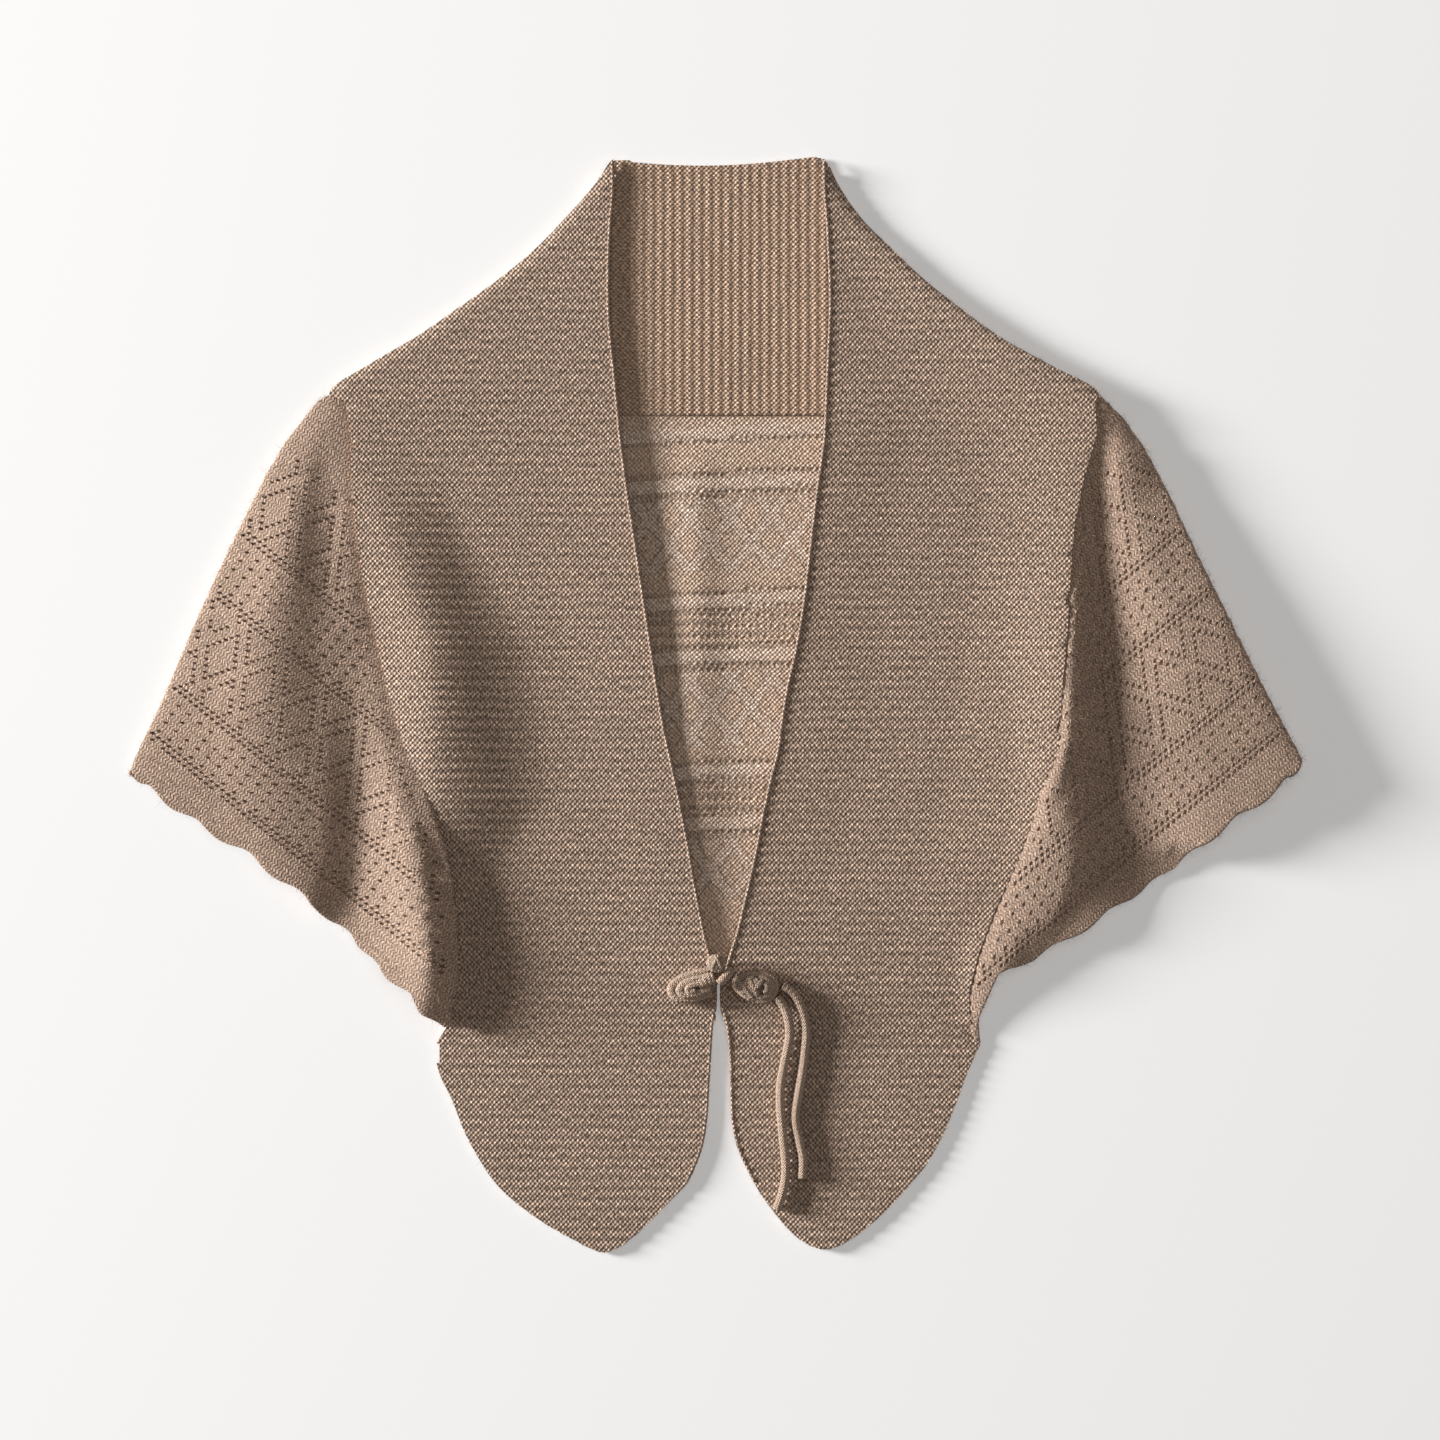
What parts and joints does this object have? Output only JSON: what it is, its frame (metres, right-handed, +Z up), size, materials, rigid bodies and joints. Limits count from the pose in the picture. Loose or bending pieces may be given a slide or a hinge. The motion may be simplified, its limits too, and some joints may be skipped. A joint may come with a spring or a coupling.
{
  "type": "capelet",
  "caption": "Knitted wool capelet laid flat: ridged garter front band and tails, lace panel with scalloped hem, corded frog closure.",
  "frame": {"origin": "on the surface that the capelet lies on, under the middle of its outline and under the flat back of the lace", "axes": "+Z up off the surface, +Y towards the collar, +X towards the right wing as seen from above, which is the wearer's left"},
  "size_m": [0.642, 0.6012, 0.0195],
  "materials": {
    "garter_wool": "matte heather wool in garter stitch",
    "lace_wool": "matte heather wool in knitted lace",
    "cord_wool": "matte twisted wool cord"
  },
  "bodies": {
    "root": {"back_neck": "garter_wool", "back_lace": "lace_wool", "front_left": "garter_wool", "front_right": "garter_wool", "wing_left": "lace_wool", "wing_right": "lace_wool", "frog_knot_left": "cord_wool", "frog_knot_right": "cord_wool", "ball_button": "cord_wool", "button_loop": "cord_wool", "tie_cord_long": "cord_wool", "tie_cord_short": "cord_wool"}
  },
  "joints": []
}
